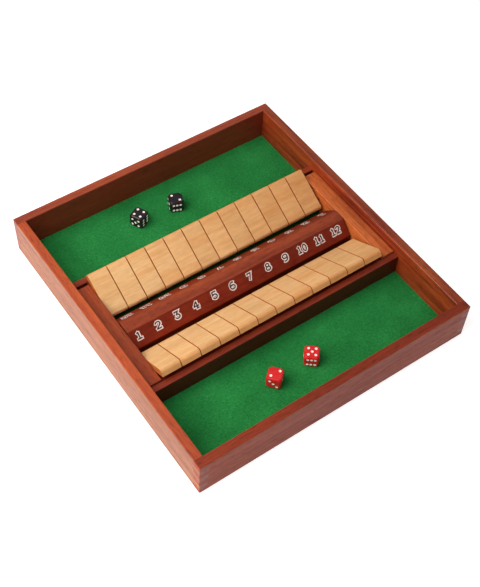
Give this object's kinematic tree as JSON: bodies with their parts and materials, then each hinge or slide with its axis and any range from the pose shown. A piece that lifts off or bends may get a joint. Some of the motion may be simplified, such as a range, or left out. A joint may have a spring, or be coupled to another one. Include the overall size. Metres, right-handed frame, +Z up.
{
  "type": "shut the box game",
  "caption": "Two-sided shut the box game: finger-jointed wooden case with felt trays, a sloped number bar between two rows of hinged tiles, and loose dice.",
  "frame": {"origin": "centre of the case's underside, at the level that it stands on", "axes": "+X along the front wall to the right as seen by the front player, +Y from the front wall to the rear wall, +Z up"},
  "size_m": [0.33, 0.356, 0.047],
  "materials": {
    "mahogany": "satin varnish over red-brown mahogany",
    "dark_mahogany": "satin varnish over darker mahogany",
    "plywood": "sanded, unvarnished",
    "tile_wood": "satin varnish over light tan wood",
    "felt": "matte woollen felt",
    "rod_steel": "drawn steel rod",
    "red_die": "polished, with white pips",
    "black_die": "polished, with white pips"
  },
  "bodies": {
    "case": {"front_wall": "mahogany", "rear_wall": "mahogany", "left_wall": "mahogany", "right_wall": "mahogany", "base_panel": "plywood", "felt_lining": "felt", "front_divider": "mahogany", "rear_divider": "mahogany", "front_tile_rest": "dark_mahogany", "rear_tile_rest": "dark_mahogany", "left_cheek": "mahogany", "right_cheek": "mahogany", "number_bar": "dark_mahogany", "front_rod": "rod_steel", "rear_rod": "rod_steel"},
    "front_tile_01": {"front_tile_01": "tile_wood"},
    "front_tile_02": {"front_tile_02": "tile_wood"},
    "front_tile_03": {"front_tile_03": "tile_wood"},
    "front_tile_04": {"front_tile_04": "tile_wood"},
    "front_tile_05": {"front_tile_05": "tile_wood"},
    "front_tile_06": {"front_tile_06": "tile_wood"},
    "front_tile_07": {"front_tile_07": "tile_wood"},
    "front_tile_08": {"front_tile_08": "tile_wood"},
    "front_tile_09": {"front_tile_09": "tile_wood"},
    "front_tile_10": {"front_tile_10": "tile_wood"},
    "front_tile_11": {"front_tile_11": "tile_wood"},
    "front_tile_12": {"front_tile_12": "tile_wood"},
    "rear_tile_01": {"rear_tile_01": "tile_wood"},
    "rear_tile_02": {"rear_tile_02": "tile_wood"},
    "rear_tile_03": {"rear_tile_03": "tile_wood"},
    "rear_tile_04": {"rear_tile_04": "tile_wood"},
    "rear_tile_05": {"rear_tile_05": "tile_wood"},
    "rear_tile_06": {"rear_tile_06": "tile_wood"},
    "rear_tile_07": {"rear_tile_07": "tile_wood"},
    "rear_tile_08": {"rear_tile_08": "tile_wood"},
    "rear_tile_09": {"rear_tile_09": "tile_wood"},
    "rear_tile_10": {"rear_tile_10": "tile_wood"},
    "rear_tile_11": {"rear_tile_11": "tile_wood"},
    "rear_tile_12": {"rear_tile_12": "tile_wood"},
    "red_die_1": {"red_die_1": "red_die"},
    "red_die_2": {"red_die_2": "red_die"},
    "black_die_1": {"black_die_1": "black_die"},
    "black_die_2": {"black_die_2": "black_die"}
  },
  "joints": [
    {"name": "front_tile_01_hinge", "type": "hinge", "parent": "case", "child": "front_tile_01", "pos_m": [-0.1268, -0.0374, 0.0249], "axis": [-1, 0, 0], "range_deg": [0, 122.2]},
    {"name": "front_tile_02_hinge", "type": "hinge", "parent": "case", "child": "front_tile_02", "pos_m": [-0.104, -0.0374, 0.0249], "axis": [-1, 0, 0], "range_deg": [0, 122.2]},
    {"name": "front_tile_03_hinge", "type": "hinge", "parent": "case", "child": "front_tile_03", "pos_m": [-0.0812, -0.0374, 0.0249], "axis": [-1, 0, 0], "range_deg": [0, 122.2]},
    {"name": "front_tile_04_hinge", "type": "hinge", "parent": "case", "child": "front_tile_04", "pos_m": [-0.0584, -0.0374, 0.0249], "axis": [-1, 0, 0], "range_deg": [0, 122.2]},
    {"name": "front_tile_05_hinge", "type": "hinge", "parent": "case", "child": "front_tile_05", "pos_m": [-0.0356, -0.0374, 0.0249], "axis": [-1, 0, 0], "range_deg": [0, 122.2]},
    {"name": "front_tile_06_hinge", "type": "hinge", "parent": "case", "child": "front_tile_06", "pos_m": [-0.0128, -0.0374, 0.0249], "axis": [-1, 0, 0], "range_deg": [0, 122.2]},
    {"name": "front_tile_07_hinge", "type": "hinge", "parent": "case", "child": "front_tile_07", "pos_m": [0.01, -0.0374, 0.0249], "axis": [-1, 0, 0], "range_deg": [0, 122.2]},
    {"name": "front_tile_08_hinge", "type": "hinge", "parent": "case", "child": "front_tile_08", "pos_m": [0.0328, -0.0374, 0.0249], "axis": [-1, 0, 0], "range_deg": [0, 122.2]},
    {"name": "front_tile_09_hinge", "type": "hinge", "parent": "case", "child": "front_tile_09", "pos_m": [0.0556, -0.0374, 0.0249], "axis": [-1, 0, 0], "range_deg": [0, 122.2]},
    {"name": "front_tile_10_hinge", "type": "hinge", "parent": "case", "child": "front_tile_10", "pos_m": [0.0784, -0.0374, 0.0249], "axis": [-1, 0, 0], "range_deg": [0, 122.2]},
    {"name": "front_tile_11_hinge", "type": "hinge", "parent": "case", "child": "front_tile_11", "pos_m": [0.1012, -0.0374, 0.0249], "axis": [-1, 0, 0], "range_deg": [0, 122.2]},
    {"name": "front_tile_12_hinge", "type": "hinge", "parent": "case", "child": "front_tile_12", "pos_m": [0.124, -0.0374, 0.0249], "axis": [-1, 0, 0], "range_deg": [0, 122.2]},
    {"name": "rear_tile_01_hinge", "type": "hinge", "parent": "case", "child": "rear_tile_01", "pos_m": [0.124, 0.0374, 0.0249], "axis": [1, 0, 0], "range_deg": [0, 122.2]},
    {"name": "rear_tile_02_hinge", "type": "hinge", "parent": "case", "child": "rear_tile_02", "pos_m": [0.1012, 0.0374, 0.0249], "axis": [1, 0, 0], "range_deg": [0, 122.2]},
    {"name": "rear_tile_03_hinge", "type": "hinge", "parent": "case", "child": "rear_tile_03", "pos_m": [0.0784, 0.0374, 0.0249], "axis": [1, 0, 0], "range_deg": [0, 122.2]},
    {"name": "rear_tile_04_hinge", "type": "hinge", "parent": "case", "child": "rear_tile_04", "pos_m": [0.0556, 0.0374, 0.0249], "axis": [1, 0, 0], "range_deg": [0, 122.2]},
    {"name": "rear_tile_05_hinge", "type": "hinge", "parent": "case", "child": "rear_tile_05", "pos_m": [0.0328, 0.0374, 0.0249], "axis": [1, 0, 0], "range_deg": [0, 122.2]},
    {"name": "rear_tile_06_hinge", "type": "hinge", "parent": "case", "child": "rear_tile_06", "pos_m": [0.01, 0.0374, 0.0249], "axis": [1, 0, 0], "range_deg": [0, 122.2]},
    {"name": "rear_tile_07_hinge", "type": "hinge", "parent": "case", "child": "rear_tile_07", "pos_m": [-0.0128, 0.0374, 0.0249], "axis": [1, 0, 0], "range_deg": [0, 122.2]},
    {"name": "rear_tile_08_hinge", "type": "hinge", "parent": "case", "child": "rear_tile_08", "pos_m": [-0.0356, 0.0374, 0.0249], "axis": [1, 0, 0], "range_deg": [0, 122.2]},
    {"name": "rear_tile_09_hinge", "type": "hinge", "parent": "case", "child": "rear_tile_09", "pos_m": [-0.0584, 0.0374, 0.0249], "axis": [1, 0, 0], "range_deg": [0, 122.2]},
    {"name": "rear_tile_10_hinge", "type": "hinge", "parent": "case", "child": "rear_tile_10", "pos_m": [-0.0812, 0.0374, 0.0249], "axis": [1, 0, 0], "range_deg": [0, 122.2]},
    {"name": "rear_tile_11_hinge", "type": "hinge", "parent": "case", "child": "rear_tile_11", "pos_m": [-0.104, 0.0374, 0.0249], "axis": [1, 0, 0], "range_deg": [0, 122.2]},
    {"name": "rear_tile_12_hinge", "type": "hinge", "parent": "case", "child": "rear_tile_12", "pos_m": [-0.1268, 0.0374, 0.0249], "axis": [1, 0, 0], "range_deg": [0, 122.2]},
    {"name": "red_die_1_lift", "type": "slide", "parent": "case", "child": "red_die_1", "axis": [0, 0, 1], "range_m": [0, 0.06]},
    {"name": "red_die_2_lift", "type": "slide", "parent": "case", "child": "red_die_2", "axis": [0, 0, 1], "range_m": [0, 0.06]},
    {"name": "black_die_1_lift", "type": "slide", "parent": "case", "child": "black_die_1", "axis": [0, 0, 1], "range_m": [0, 0.06]},
    {"name": "black_die_2_lift", "type": "slide", "parent": "case", "child": "black_die_2", "axis": [0, 0, 1], "range_m": [0, 0.06]}
  ]
}
